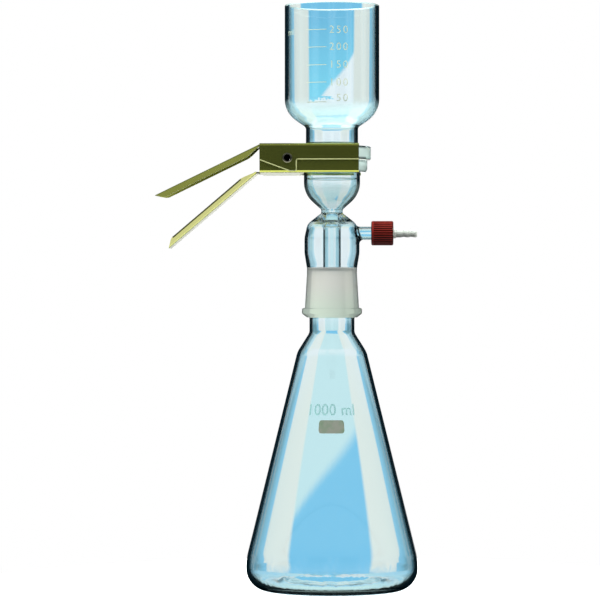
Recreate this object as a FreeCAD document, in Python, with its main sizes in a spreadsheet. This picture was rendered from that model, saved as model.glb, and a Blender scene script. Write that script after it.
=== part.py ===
import FreeCAD, Part
import math
import os

import Sketcher
from FreeCAD import Placement, Rotation, Vector

# A vacuum filtration unit for 47 mm membrane filters: a conical flask, a glass filter
# base with a side arm, a graduated funnel and the spring clamp that holds them together.
#
# Millimetres. The origin is the centre of the flask's foot on the bench, +Z runs up the
# vessels' common axis, +X points along the side arm, and the clamp's handles point to -X.

doc = FreeCAD.newDocument("filtration_unit")

# ---------------------------------------------------------------- driving dimensions

SIZES = {
    # shared: how far a cut runs past what it cuts, and the small rounds
    "margin": 1.0,
    "edge_round": 0.8,
    "small_round": 0.4,
    # flask
    "foot_inner_radius": 43.0,
    "foot_corner": 16.5,
    "punt_radius": 34.0,
    "punt_rise": 3.6,
    "belly_radius": 65.2,
    "belly_height": 23.4,
    "belly_blend": 50.0,
    "flask_floor": 3.4,
    "flask_wall": 2.3,
    "flask_shoulder_radius": 26.3,
    "flask_shoulder_height": 181.0,
    "flask_shoulder_blend": 18.0,
    "flask_neck_radius": 17.1,
    "flask_neck_height": 195.6,
    "flask_neck_blend": 6.0,
    "flask_neck_wall": 2.2,
    "inner_neck_drop": 0.6,
    "inner_shoulder_drop": 0.9,
    # ground joint between flask and filter base: a 1 in 10 taper
    "joint_bottom": 207.2,
    "joint_length": 35.0,
    "joint_large_radius": 17.25,
    "joint_small_radius": 15.5,
    "joint_film": 0.03,
    "joint_step": 1.0,
    # filter base
    "bead_radius": 22.8,
    "bead_height": 7.1,
    "bead_chamfer": 2.9,
    "bead_round": 1.4,
    "socket_large_radius": 20.5,
    "socket_small_radius": 19.0,
    "socket_top": 240.0,
    "socket_throat_height": 244.8,
    "chamber_foot": 244.5,
    "inner_chamber_foot": 247.2,
    "chamber_low": 256.0,
    "chamber_high": 268.0,
    "chamber_radius": 20.9,
    "chamber_shoulder_radius": 18.6,
    "chamber_shoulder_height": 278.2,
    "inner_chamber_shoulder_radius": 16.6,
    "inner_chamber_shoulder_height": 276.9,
    "chamber_wall": 2.3,
    "chamber_blend": 20.0,
    "shoulder_blend": 8.0,
    "throat_radius": 8.2,
    "throat_top": 289.1,
    "throat_foot": 286.4,
    "throat_blend": 1.5,
    "inner_throat_height": 289.5,
    "drip_root_height": 284.6,
    "drip_flare": 4.8,
    "drip_radius": 6.75,
    "drip_bore": 5.3,
    "drip_end": 213.5,
    "drip_bevel": 6.0,
    "bowl_radius": 21.3,
    "bowl_corner_height": 300.9,
    "bowl_blend": 20.0,
    "bowl_wall": 2.2,
    "bowl_lift": 1.0,
    "base_flange_radius": 26.8,
    "base_flange_bottom": 317.3,
    "base_flange_chamfer": 1.0,
    "base_flange_edge": 319.8,
    "base_flange_top": 326.6,
    "frit_radius": 20.4,
    "frit_thickness": 4.0,
    "frit_ledge": 1.4,
    # side arm, with its screw thread's core
    "arm_height": 271.1,
    "arm_root": 18.75,
    "arm_end": 41.5,
    "arm_radius": 5.0,
    "arm_bore": 3.2,
    "arm_bore_start": 11.8,
    "arm_flare": 3.0,
    "thread_start": 31.4,
    "thread_core_radius": 6.2,
    # membrane
    "membrane_radius": 23.5,
    "membrane_thickness": 0.15,
    # funnel
    "funnel_height": 444.4,
    "funnel_radius": 35.9,
    "funnel_wall": 2.5,
    "funnel_corner_height": 362.3,
    "funnel_corner_blend": 20.0,
    "funnel_neck_radius": 19.8,
    "funnel_neck_bore": 17.5,
    "funnel_neck_height": 351.6,
    "funnel_neck_blend": 3.0,
    "funnel_lift": 1.3,
    "funnel_flange_radius": 29.4,
    "funnel_flange_top": 336.9,
    "funnel_flange_flare": 3.2,
    # clamp, whose mid-plane is the plane of its pivot
    "clamp_height": 327.1,
    "clamp_front": 21.2,
    "clamp_length": 74.6,
    "clamp_back": -53.4,
    "clamp_half_depth": 11.0,
    "wall_reach": 12.0,
    "sheet": 1.2,
    "sheet_bend": 2.0,
    "upper_half_width": 33.1,
    "lower_half_width": 31.7,
    "jaw_edge": -1.3,
    "lug_front": -25.3,
    "lug_back": -30.6,
    "lug_round": 2.0,
    "upper_lug_depth": -10.2,
    "lower_lug_depth": -8.0,
    "slot_radius": 24.3,
    "pivot_x": -32.4,
    "pivot_radius": 2.9,
    "pivot_bore": 2.3,
    "pivot_play": 0.05,
    "pivot_grip": 0.02,
    "pivot_head_radius": 3.8,
    "pivot_head": 0.95,
    "pivot_head_round": 0.7,
    "handle_half_width": 12.0,
    "flange_spread": 1.85,
    "flange_drop": 4.8,
    "flange_round": 1.8,
    "flange_relief_depth": 0.5,
    "flange_relief_start": 1.5,
    "flange_relief_end": 13.0,
    "flange_corner_rise": 0.7,
    "flange_corner_run": 4.0,
    "flange_corner_round": 3.0,
    "flange_tip_slant": 6.5,
    "upper_bend": -55.2,
    "lower_bend": -57.3,
    "upper_handle_angle": 25.9,
    "lower_handle_angle": 40.4,
    "handle_length": 87.6,
    # torsion spring
    "wire_radius": 1.0,
    "coil_radius": 4.7,
    "coil_pitch": 2.15,
    "coil_turns": 2,
    "coil_inner_end": 19.0,
    "spring_clearance": 0.15,
    "leg_back": -17.0,
    "bridge_bend": 3.0,
    # hose nozzle, seal and screw cap, along the side arm
    "seal_thickness": 1.5,
    "seal_radius": 5.6,
    "seal_bore": 3.2,
    "nozzle_flange": 1.6,
    "nozzle_flange_radius": 5.9,
    "nozzle_collar_radius": 3.9,
    "nozzle_collar_end": 48.2,
    "nozzle_radius": 3.2,
    "nozzle_bore": 1.7,
    "nozzle_neck_radius": 2.7,
    "nozzle_collar_slope": 0.6,
    "nozzle_plain_end": 52.4,
    "nozzle_plain_slope": 2.0,
    "barb_pitch": 5.9,
    "barb_crown_start": 1.4,
    "barb_crown_end": 0.6,
    "barb_fall": 1.6,
    "nozzle_end": 64.6,
    "cap_start": 29.9,
    "cap_end": 46.6,
    "cap_radius": 9.25,
    "cap_bore": 7.2,
    "cap_hole": 4.4,
    "cap_round": 1.1,
    "cap_rim": 1.9,
    "rib_groove_radius": 0.62,
    "rib_groove_offset": 0.12,
    "rib_count": 32,
}

sheet = doc.addObject("Spreadsheet::Sheet", "Sizes")
for row, (name, value) in enumerate(SIZES.items(), start=1):
    sheet.set(f"A{row}", name)
    sheet.set(f"B{row}", str(value))
    sheet.setAlias(f"B{row}", name)
doc.recompute()


def size(text):
    """The value of a sum of sheet names and numbers, such as "cap_end - 2"."""
    total, sign = 0.0, 1
    for word in text.split():
        if word in "+-":
            sign = 1 if word == "+" else -1
        else:
            negative = word.startswith("-")
            word = word.lstrip("-")
            value = float(word) if word[0].isdigit() else sheet.get(word)
            total += sign * (-value if negative else value)
            sign = 1
    return total


def formula(text):
    """The same sum as an expression of the sheet's cells."""
    words = []
    for word in text.split():
        if word.lstrip("-")[:1].isalpha():
            word = word.replace(word.lstrip("-"), "Sizes." + word.lstrip("-"))
        words.append(word)
    return " ".join(words)


# ---------------------------------------------------------------- sketch helpers

ROOT_POINT = (-1, 1)
START, END, CENTRE = 1, 2, 3


def new_body(label):
    """A body for one sub-part, whose label names its file."""
    body = doc.addObject("PartDesign::Body", label)
    body.Label = label
    return body


def new_sketch(body, name, plane, base=("0", "0", "0"), turn=None):
    """A sketch on one of the body's origin planes, moved and turned by sheet values."""
    sketch = body.newObject("Sketcher::SketchObject", f"{body.Label}_{name}")
    support = [f for f in body.Origin.OriginFeatures if f.Role == plane][0]
    sketch.AttachmentSupport = [(support, "")]
    sketch.MapMode = "FlatFace"
    if turn is not None:
        axis, angle = turn
        sketch.AttachmentOffset = Placement(Vector(0, 0, 0), Rotation(axis, size(angle)))
        sketch.setExpression("AttachmentOffset.Rotation.Angle", formula(angle))
    for axis_name, text in zip("xyz", base):
        if text != "0":
            sketch.setExpression(f"AttachmentOffset.Base.{axis_name}", formula(text))
    return sketch


def bind(sketch, constraint, text):
    """Add a driving dimension and bind it to the sheet."""
    index = sketch.addConstraint(constraint)
    name = f"{sketch.Name}_{index}"
    sketch.renameConstraint(index, name)
    sketch.setExpression(f"Constraints.{name}", formula(text))


def place_point(sketch, geometry, position, across, up):
    """Pin a point of the sketch at (across, up) from its origin."""
    for kind, text in (("DistanceX", across), ("DistanceY", up)):
        bind(sketch, Sketcher.Constraint(kind, *ROOT_POINT, geometry, position, size(text)), text)


def outline(sketch, corners):
    """A closed outline through corners of (across, up) or (across, up, blend radius).

    Each corner's place and each blend's radius is a sum of sheet names. A blended corner
    keeps its sharp point as construction geometry, and a tangent arc rounds it.
    """
    points = [Vector(size(c[0]), size(c[1]), 0) for c in corners]
    count = len(corners)
    starts, ends, arcs = [None] * count, [None] * count, {}
    for i, corner in enumerate(corners):
        before, here, after = points[i - 1], points[i], points[(i + 1) % count]
        into, out = (here - before).normalize(), (after - here).normalize()
        if len(corner) == 2:
            starts[i] = ends[i] = here
            continue
        radius = size(corner[2])
        turned = into.getAngle(out)
        left = into.x * out.y - into.y * out.x > 0
        reach = radius * math.tan(turned / 2)
        ends[i], starts[i] = here - into * reach, here + out * reach
        normal = Vector(-into.y, into.x, 0) if left else Vector(into.y, -into.x, 0)
        centre = ends[i] + normal * radius
        first, last = (ends[i], starts[i]) if left else (starts[i], ends[i])
        angles = [math.atan2(p.y - centre.y, p.x - centre.x) for p in (first, last)]
        if angles[1] < angles[0]:
            angles[1] += 2 * math.pi
        circle = Part.Circle(centre, Vector(0, 0, 1), radius)
        arcs[i] = (Part.ArcOfCircle(circle, *angles), left)

    lines = [
        sketch.addGeometry(Part.LineSegment(starts[i], ends[(i + 1) % count]), False)
        for i in range(count)
    ]
    for i, corner in enumerate(corners):
        line_in, line_out = lines[i - 1], lines[i]
        if i not in arcs:
            sketch.addConstraint(Sketcher.Constraint("Coincident", line_in, END, line_out, START))
            place_point(sketch, line_out, START, corner[0], corner[1])
            continue
        shape, left = arcs[i]
        arc = sketch.addGeometry(shape, False)
        tip = sketch.addGeometry(Part.Point(points[i]), True)
        entry, leave = (START, END) if left else (END, START)
        sketch.addConstraint([
            Sketcher.Constraint("Tangent", line_in, END, arc, entry),
            Sketcher.Constraint("Tangent", line_out, START, arc, leave),
            Sketcher.Constraint("PointOnObject", tip, START, line_in),
            Sketcher.Constraint("PointOnObject", tip, START, line_out),
        ])
        place_point(sketch, tip, START, corner[0], corner[1])
        bind(sketch, Sketcher.Constraint("Radius", arc, size(corner[2])), corner[2])


def circle(sketch, across, up, radius):
    """A full circle about (across, up)."""
    centre = Vector(size(across), size(up), 0)
    ring = sketch.addGeometry(Part.Circle(centre, Vector(0, 0, 1), size(radius)), False)
    place_point(sketch, ring, CENTRE, across, up)
    bind(sketch, Sketcher.Constraint("Radius", ring, size(radius)), radius)


def revolve(body, sketch, axis="V_Axis"):
    """Turn the sketch's outline once round one of its axes."""
    turned = body.newObject("PartDesign::Revolution", f"{sketch.Name}_revolved")
    turned.Profile = sketch
    turned.ReferenceAxis = (sketch, [axis])
    turned.Angle = 360
    return turned


def extrude(body, sketch, kind, length, side="One side", reverse=False):
    """Pad or pocket the sketch by a sheet value, or cut "through" all."""
    feature = body.newObject(f"PartDesign::{kind}", f"{sketch.Name}_{kind.lower()}")
    feature.Profile = sketch
    feature.SideType = side
    feature.Reversed = reverse
    if length == "through":
        feature.Type = "ThroughAll"
    else:
        feature.setExpression("Length", formula(length))
    return feature


def fillet(body, name, radius, wanted):
    """Round the edges of the body's tip whose middle point satisfies a test."""
    doc.recompute()
    tip = body.Tip
    edges = [
        f"Edge{number}"
        for number, edge in enumerate(tip.Shape.Edges, start=1)
        if wanted(edge)
    ]
    rounded = body.newObject("PartDesign::Fillet", f"{body.Label}_{name}")
    rounded.Base = (tip, edges)
    rounded.setExpression("Radius", formula(radius))
    return rounded


# ---------------------------------------------------------------- flask

def make_flask():
    """A conical flask blown in one piece, with a pushed-up foot and a ground cone."""
    body = new_body("flask")
    profile = new_sketch(body, "profile", "XZ_Plane")
    outline(profile, [
        ("0", "punt_rise"),
        ("punt_radius", "punt_rise", "foot_corner"),
        ("foot_inner_radius", "0"),
        ("belly_radius", "0", "foot_corner"),
        ("belly_radius", "belly_height", "belly_blend"),
        ("flask_shoulder_radius", "flask_shoulder_height", "flask_shoulder_blend"),
        ("flask_neck_radius", "flask_neck_height", "flask_neck_blend"),
        ("flask_neck_radius", "joint_bottom - joint_step"),
        ("joint_large_radius", "joint_bottom"),
        ("joint_small_radius", "joint_bottom + joint_length", "edge_round"),
        ("joint_small_radius - flask_neck_wall", "joint_bottom + joint_length", "edge_round"),
        ("flask_neck_radius - flask_neck_wall", "joint_bottom", "flask_neck_blend"),
        ("flask_neck_radius - flask_neck_wall", "flask_neck_height - inner_neck_drop",
         "flask_neck_blend"),
        ("flask_shoulder_radius - flask_wall", "flask_shoulder_height - inner_shoulder_drop",
         "flask_shoulder_blend - flask_wall"),
        ("belly_radius - flask_wall", "belly_height", "belly_blend - flask_wall"),
        ("belly_radius - flask_wall", "flask_floor", "foot_corner - flask_wall"),
        ("foot_inner_radius - flask_wall", "flask_floor", "foot_corner"),
        ("punt_radius - flask_wall", "punt_rise + flask_floor", "foot_corner"),
        ("0", "punt_rise + flask_floor"),
    ])
    revolve(body, profile)
    return body


# ---------------------------------------------------------------- filter base

def make_filter_base():
    """Flange, bowl, chamber with its drip tube, side arm and ground socket in one glass."""
    body = new_body("filter_base")
    profile = new_sketch(body, "profile", "XZ_Plane")
    outline(profile, [
        # outside, from the flange down
        ("base_flange_radius", "base_flange_top", "edge_round"),
        ("base_flange_radius", "base_flange_edge"),
        ("base_flange_radius - base_flange_chamfer", "base_flange_bottom"),
        ("bowl_radius", "base_flange_bottom"),
        ("bowl_radius", "bowl_corner_height", "bowl_blend"),
        ("throat_radius", "throat_top", "throat_blend"),
        ("throat_radius", "throat_foot", "throat_blend"),
        ("chamber_shoulder_radius", "chamber_shoulder_height", "shoulder_blend"),
        ("chamber_radius", "chamber_high", "chamber_blend"),
        ("chamber_radius", "chamber_low", "chamber_blend"),
        ("socket_small_radius", "chamber_foot", "shoulder_blend"),
        ("socket_small_radius", "socket_top", "shoulder_blend"),
        ("socket_large_radius", "joint_bottom + bead_height"),
        ("bead_radius", "joint_bottom + bead_height", "bead_round"),
        ("bead_radius", "joint_bottom + bead_chamfer", "bead_round"),
        ("socket_small_radius", "joint_bottom"),
        # inside, up the ground socket, the chamber, the drip tube and the bowl
        ("joint_large_radius + joint_film", "joint_bottom"),
        ("joint_small_radius + joint_film", "joint_bottom + joint_length"),
        ("socket_small_radius - chamber_wall", "socket_throat_height"),
        ("socket_small_radius - chamber_wall", "inner_chamber_foot", "shoulder_blend"),
        ("chamber_radius - chamber_wall", "chamber_low", "chamber_blend"),
        ("chamber_radius - chamber_wall", "chamber_high", "chamber_blend"),
        ("inner_chamber_shoulder_radius", "inner_chamber_shoulder_height",
         "shoulder_blend - chamber_wall"),
        ("drip_radius", "drip_root_height", "drip_flare"),
        ("drip_radius", "drip_end"),
        ("drip_bore", "drip_end"),
        ("drip_bore", "inner_throat_height", "throat_blend"),
        ("frit_radius - frit_ledge", "bowl_corner_height + bowl_lift",
         "bowl_blend - bowl_wall"),
        ("frit_radius - frit_ledge", "base_flange_top - frit_thickness"),
        ("frit_radius", "base_flange_top - frit_thickness"),
        ("frit_radius", "base_flange_top"),
    ])
    revolve(body, profile)

    # side arm: a tube with a thicker stretch for the thread, bored into the chamber
    for name, start, radius in (
        ("arm", "arm_root", "arm_radius"),
        ("thread", "thread_start", "thread_core_radius"),
    ):
        tube = new_sketch(body, name, "YZ_Plane", base=("0", "0", start))
        circle(tube, "0", "arm_height", radius)
        extrude(body, tube, "Pad", f"arm_end - {start}")
    bore = new_sketch(body, "bore", "YZ_Plane", base=("0", "0", "arm_end"))
    circle(bore, "0", "arm_height", "arm_bore")
    extrude(body, bore, "Pocket", "arm_end - arm_bore_start")

    # the drip tube's end is cut on the slant
    bevel = new_sketch(body, "bevel", "XZ_Plane")
    outline(bevel, [
        ("-drip_radius - margin", "drip_end - margin"),
        ("drip_radius + margin", "drip_end - margin"),
        ("drip_radius + margin", "drip_end + drip_bevel"),
    ])
    extrude(body, bevel, "Pocket", "drip_radius + drip_radius + margin", side="Symmetric")

    def at_arm_root(edge):
        ends = [vertex.Point for vertex in edge.Vertexes]
        on_tube = all(
            abs(math.hypot(p.y, p.z - size("arm_height")) - size("arm_radius")) < 0.02
            for p in ends
        )
        return on_tube and all(size("arm_root") < p.x < size("chamber_radius") + 0.1 for p in ends)

    fillet(body, "flare", "arm_flare", at_arm_root)
    return body


def make_disc(label, radius, thickness, height):
    """A plain round disc lying across the vessels' axis."""
    body = new_body(label)
    face = new_sketch(body, "face", "XY_Plane", base=("0", "0", height))
    circle(face, "0", "0", radius)
    extrude(body, face, "Pad", thickness)
    return body


# ---------------------------------------------------------------- funnel

def make_funnel():
    """A straight funnel with a fire-polished rim, a short neck and a ground flange."""
    body = new_body("funnel")
    profile = new_sketch(body, "profile", "XZ_Plane")
    outline(profile, [
        ("funnel_radius", "funnel_height", "edge_round"),
        ("funnel_radius", "funnel_corner_height", "funnel_corner_blend"),
        ("funnel_neck_radius", "funnel_neck_height", "funnel_neck_blend"),
        ("funnel_neck_radius", "funnel_flange_top", "funnel_flange_flare"),
        ("funnel_flange_radius", "funnel_flange_top", "edge_round"),
        ("funnel_flange_radius", "base_flange_top + membrane_thickness", "edge_round"),
        ("funnel_neck_bore", "base_flange_top + membrane_thickness"),
        ("funnel_neck_bore", "funnel_neck_height + funnel_lift", "funnel_neck_blend"),
        ("funnel_radius - funnel_wall", "funnel_corner_height + funnel_lift",
         "funnel_corner_blend - funnel_wall"),
        ("funnel_radius - funnel_wall", "funnel_height", "edge_round"),
    ])
    revolve(body, profile)
    return body


# ---------------------------------------------------------------- clamp

def make_clamp_arm(label, half_width, lug_depth, hole_play, bend, handle_angle, inward):
    """One arm of the clamp: a folded sheet with a U-slot, two lugs and a trough handle.

    It is drawn with its web on top of the clamp's mid-plane, so that the lower arm is a
    narrower one turned over. The handle bends inward, towards the mid-plane, or outward.
    """
    body = new_body(label)
    channel = new_sketch(body, "channel", "YZ_Plane", base=("0", "0", "clamp_back"))
    outline(channel, [
        (f"-{half_width}", "-wall_reach"),
        (f"-{half_width}", "clamp_half_depth", "sheet_bend"),
        (half_width, "clamp_half_depth", "sheet_bend"),
        (half_width, "-wall_reach"),
        (f"{half_width} - sheet", "-wall_reach"),
        (f"{half_width} - sheet", "clamp_half_depth - sheet", "sheet_bend - sheet"),
        (f"-{half_width} + sheet", "clamp_half_depth - sheet", "sheet_bend - sheet"),
        (f"-{half_width} + sheet", "-wall_reach"),
    ])
    extrude(body, channel, "Pad", "clamp_length")

    # both walls are cropped to the jaw's edge, the pivot's lug and a rising back edge
    crop = new_sketch(body, "crop", "XZ_Plane")
    outline(crop, [
        ("clamp_front + margin", "jaw_edge"),
        ("lug_front", "jaw_edge", "edge_round"),
        ("lug_front", lug_depth, "lug_round"),
        ("lug_back", lug_depth, "lug_round"),
        ("clamp_back - margin", "jaw_edge"),
        ("clamp_back - margin", "-wall_reach - margin"),
        ("clamp_front + margin", "-wall_reach - margin"),
    ])
    extrude(body, crop, "Pocket", "through", side="Symmetric")

    # the web is slotted, so that it slides on round the vessels' necks
    slot_end = new_sketch(body, "slot_end", "XY_Plane", base=("0", "0", "clamp_half_depth"))
    circle(slot_end, "0", "0", "slot_radius")
    extrude(body, slot_end, "Pocket", "sheet + margin")
    slot = new_sketch(body, "slot", "XY_Plane", base=("0", "0", "clamp_half_depth"))
    outline(slot, [
        ("0", "-slot_radius"),
        ("clamp_front + margin", "-slot_radius"),
        ("clamp_front + margin", "slot_radius"),
        ("0", "slot_radius"),
    ])
    extrude(body, slot, "Pocket", "sheet + margin")

    hole = new_sketch(body, "hole", "XZ_Plane")
    circle(hole, "pivot_x", "0", f"pivot_radius + {hole_play}")
    extrude(body, hole, "Pocket", "through", side="Symmetric")

    # a tongue runs back from the web, and the handle is a trough folded from it
    tongue = new_sketch(body, "tongue", "XY_Plane", base=("0", "0", "clamp_half_depth"))
    outline(tongue, [
        (bend, "-handle_half_width"),
        ("clamp_back + margin", "-handle_half_width"),
        ("clamp_back + margin", "handle_half_width"),
        (bend, "handle_half_width"),
    ])
    extrude(body, tongue, "Pad", "sheet", reverse=True)

    # the fold turns about the web's top edge if inward, and about its under edge if outward
    face = "0" if inward else "sheet"
    fold_height = "clamp_half_depth" if inward else "clamp_half_depth - sheet"
    trough = new_sketch(
        body, "trough", "YZ_Plane", base=("0", fold_height, bend),
        turn=(Vector(-1 if inward else 1, 0, 0), handle_angle),
    )
    outline(trough, [
        ("-handle_half_width - flange_spread", f"{face} - flange_drop"),
        ("-handle_half_width", face, "flange_round"),
        ("handle_half_width", face, "flange_round"),
        ("handle_half_width + flange_spread", f"{face} - flange_drop"),
        ("handle_half_width + flange_spread - sheet", f"{face} - flange_drop"),
        ("handle_half_width - sheet", f"{face} - sheet", "flange_round - sheet"),
        ("-handle_half_width + sheet", f"{face} - sheet", "flange_round - sheet"),
        ("-handle_half_width - flange_spread + sheet", f"{face} - flange_drop"),
    ])
    extrude(body, trough, "Pad", "handle_length", reverse=True)

    # seen from the side, the flanges start on a sweep behind the fold and end on a slant
    flange_ends = {
        "relief": [
            ("small_round", f"{face} - sheet - flange_relief_depth"),
            ("-flange_relief_start", f"{face} - sheet - flange_relief_depth", "lug_round"),
            ("-flange_relief_end + flange_corner_run", f"{face} - flange_drop + flange_corner_rise",
             "flange_corner_round"),
            ("-flange_relief_end - flange_corner_run", f"{face} - flange_drop - margin"),
            ("small_round", f"{face} - flange_drop - margin"),
        ],
        "tip": [
            ("-handle_length - margin", f"{face} + small_round"),
            ("-handle_length + flange_tip_slant - margin",
             f"{face} - flange_drop + flange_corner_rise", "flange_corner_round"),
            ("-handle_length + flange_tip_slant + flange_corner_run",
             f"{face} - flange_drop - margin"),
            ("-handle_length - margin", f"{face} - flange_drop - margin"),
        ],
    }
    for name, corners in flange_ends.items():
        end = new_sketch(
            body, name, "XZ_Plane", base=(bend, fold_height, "0"),
            turn=(Vector(0, 0, 1 if inward else -1), handle_angle),
        )
        outline(end, corners)
        extrude(body, end, "Pocket", "upper_half_width", side="Symmetric")
    return body


def make_pivot_tube():
    """A hollow rivet through both arms, rolled over at each end."""
    body = new_body("clamp_pivot_tube")
    profile = new_sketch(body, "profile", "XY_Plane")
    shoulder = "upper_half_width + pivot_play"
    end = f"{shoulder} + pivot_head"
    back_shoulder = "-upper_half_width - pivot_play"
    back_end = f"{back_shoulder} - pivot_head"
    outline(profile, [
        ("pivot_bore", back_end, "small_round"),
        ("pivot_head_radius", back_end, "pivot_head_round"),
        ("pivot_head_radius", back_shoulder),
        ("pivot_radius", back_shoulder),
        ("pivot_radius", shoulder),
        ("pivot_head_radius", shoulder),
        ("pivot_head_radius", end, "pivot_head_round"),
        ("pivot_bore", end, "small_round"),
    ])
    revolve(body, profile)
    return body


# ---------------------------------------------------------------- nozzle, seal and cap

def make_hose_nozzle():
    """A hose nozzle with a seating flange, a plain stretch and three rounded barbs."""
    body = new_body("hose_nozzle")
    flange_back = "arm_end + seal_thickness"
    flange_front = f"{flange_back} + nozzle_flange"
    corners = [
        (flange_back, "nozzle_bore"),
        (flange_back, "nozzle_flange_radius"),
        (flange_front, "nozzle_flange_radius"),
        (flange_front, "nozzle_collar_radius"),
        ("nozzle_collar_end", "nozzle_collar_radius"),
        ("nozzle_collar_end + nozzle_collar_slope", "nozzle_radius"),
        ("nozzle_plain_end", "nozzle_radius", "edge_round"),
        ("nozzle_plain_end + nozzle_plain_slope", "nozzle_neck_radius", "edge_round"),
    ]
    for along in ("nozzle_plain_end + barb_pitch", "nozzle_end"):
        corners += [
            (f"{along} - barb_crown_start", "nozzle_radius", "edge_round"),
            (f"{along} - barb_crown_end", "nozzle_radius", "edge_round"),
            (f"{along} + barb_fall", "nozzle_neck_radius", "edge_round"),
        ]
    corners[-1] = ("nozzle_end", "nozzle_neck_radius")
    corners.append(("nozzle_end", "nozzle_bore"))
    profile = new_sketch(body, "profile", "XZ_Plane")
    outline(profile, corners)
    revolve(body, profile, "H_Axis")
    return body


def make_nozzle_seal():
    """The flat ring between the side arm's end and the nozzle's flange."""
    body = new_body("nozzle_seal")
    face = new_sketch(body, "face", "YZ_Plane", base=("0", "0", "arm_end"))
    circle(face, "0", "0", "seal_radius")
    circle(face, "0", "0", "seal_bore")
    extrude(body, face, "Pad", "seal_thickness")
    return body


def make_screw_cap():
    """A screw cap with an open top for the nozzle and ribs round its grip."""
    body = new_body("screw_cap")
    profile = new_sketch(body, "profile", "XZ_Plane")
    seat = "arm_end + seal_thickness + nozzle_flange"
    outline(profile, [
        ("cap_start", "cap_bore", "small_round"),
        ("cap_start", "cap_radius", "cap_round"),
        ("cap_end", "cap_radius", "cap_round"),
        ("cap_end", "cap_hole"),
        (seat, "cap_hole"),
        (seat, "cap_bore"),
    ])
    revolve(body, profile, "H_Axis")
    groove = new_sketch(body, "groove", "YZ_Plane", base=("0", "0", "cap_start + cap_rim"))
    circle(groove, "0", "cap_radius + rib_groove_offset", "rib_groove_radius")
    cut = extrude(body, groove, "Pocket", "cap_end - cap_start", reverse=True)
    doc.recompute()
    ribs = body.newObject("PartDesign::PolarPattern", "screw_cap_ribs")
    ribs.Originals = [cut]
    ribs.Axis = (profile, ["H_Axis"])
    ribs.Angle = 360
    ribs.setExpression("Occurrences", formula("rib_count"))
    body.Tip = ribs
    return body


# ---------------------------------------------------------------- torsion spring

def rounded_corner(before, corner, after, radius):
    """A straight run, a tangent arc and a second run through three points."""
    into, out = (corner - before).normalize(), (after - corner).normalize()
    half_turn = into.getAngle(out) / 2
    reach = radius * math.tan(half_turn)
    enter, leave = corner - into * reach, corner + out * reach
    towards = (out - into).normalize()
    middle = corner + towards * (radius / math.cos(half_turn) - radius)
    return [
        Part.LineSegment(before, enter).toShape(),
        Part.Arc(enter, middle, leave).toShape(),
        Part.LineSegment(leave, after).toShape(),
    ]


def make_spring():
    """A double torsion spring: a coil at each end of the pivot tube, joined by a bridge.

    The bridge bears on the upper arm's web, and the two free legs on the lower arm's.
    """
    wire, coil, pitch = size("wire_radius"), size("coil_radius"), size("coil_pitch")
    back, up = size("leg_back"), size("clamp_half_depth - sheet - spring_clearance") - wire
    span = math.hypot(back, up)
    lead = math.atan2(up, back) - math.acos(coil / span)
    sweep = 2 * math.pi * size("coil_turns") + 2 * lead
    rise = pitch / (2 * math.pi)
    leg = math.sqrt(span**2 - coil**2)
    inner_end = size("coil_inner_end")
    outer_end = inner_end + rise * sweep

    # one half, from the middle of the bridge to the tip of a free leg
    start = Vector(coil * math.cos(lead), inner_end, coil * math.sin(lead))
    finish = Vector(coil * math.cos(lead), outer_end, -coil * math.sin(lead))
    entering = Vector(math.sin(lead), rise / coil, -math.cos(lead))
    leaving = Vector(-math.sin(lead), rise / coil, -math.cos(lead))
    corner = start - entering * leg
    middle = Vector(corner.x, 0, corner.z)
    helix = Part.makeHelix(pitch, outer_end - inner_end, coil)
    helix.Placement = Placement(
        Vector(0, inner_end, 0),
        Rotation(Vector(math.cos(lead), 0, math.sin(lead)),
                 Vector(math.sin(lead), 0, -math.cos(lead)), Vector(0, 1, 0), "XYZ"),
    )
    path = Part.Wire(
        rounded_corner(middle, corner, start, size("bridge_bend"))
        + helix.Edges
        + [Part.LineSegment(finish, finish + leaving * leg).toShape()]
    )
    section = Part.Wire(Part.makeCircle(wire, middle, Vector(0, 1, 0)))
    half = path.makePipeShell([section], True, False)
    other = half.mirror(Vector(0, 0, 0), Vector(0, 1, 0))
    spring = doc.addObject("Part::Feature", "clamp_spring")
    spring.Label = "clamp_spring"
    spring.Shape = half.fuse(other).removeSplitter()
    return spring


# ---------------------------------------------------------------- the whole unit

flask = make_flask()
filter_base = make_filter_base()
frit_disc = make_disc("frit_disc", "frit_radius", "frit_thickness",
                      "base_flange_top - frit_thickness")
membrane = make_disc("membrane_filter", "membrane_radius", "membrane_thickness",
                     "base_flange_top")
funnel = make_funnel()
upper_arm = make_clamp_arm("clamp_upper_arm", "upper_half_width", "upper_lug_depth",
                           "pivot_play", "upper_bend", "upper_handle_angle", inward=True)
lower_arm = make_clamp_arm("clamp_lower_arm", "lower_half_width", "lower_lug_depth",
                           "pivot_grip", "lower_bend", "lower_handle_angle", inward=False)
pivot_tube = make_pivot_tube()
spring = make_spring()
nozzle = make_hose_nozzle()
seal = make_nozzle_seal()
cap = make_screw_cap()

lower_arm.Placement = Placement(Vector(0, 0, 0), Rotation(Vector(1, 0, 0), 180))
for piece in (upper_arm, lower_arm, pivot_tube, spring):
    piece.setExpression("Placement.Base.z", formula("clamp_height"))
for piece in (pivot_tube, spring):
    piece.setExpression("Placement.Base.x", formula("pivot_x"))
for piece in (nozzle, seal, cap):
    piece.setExpression("Placement.Base.z", formula("arm_height"))

doc.recompute()

parts = [flask, filter_base, frit_disc, membrane, funnel, upper_arm, lower_arm, pivot_tube,
         spring, nozzle, seal, cap]

for thing in doc.Objects:
    if "Invalid" in thing.State or "Error" in thing.State:
        raise RuntimeError(f"{thing.Label} failed: {thing.State}")
for part in parts:
    shape = part.Shape
    if shape.isNull() or not shape.isValid() or len(shape.Solids) != 1:
        raise RuntimeError(f"{part.Label} isn't one valid solid")

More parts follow.
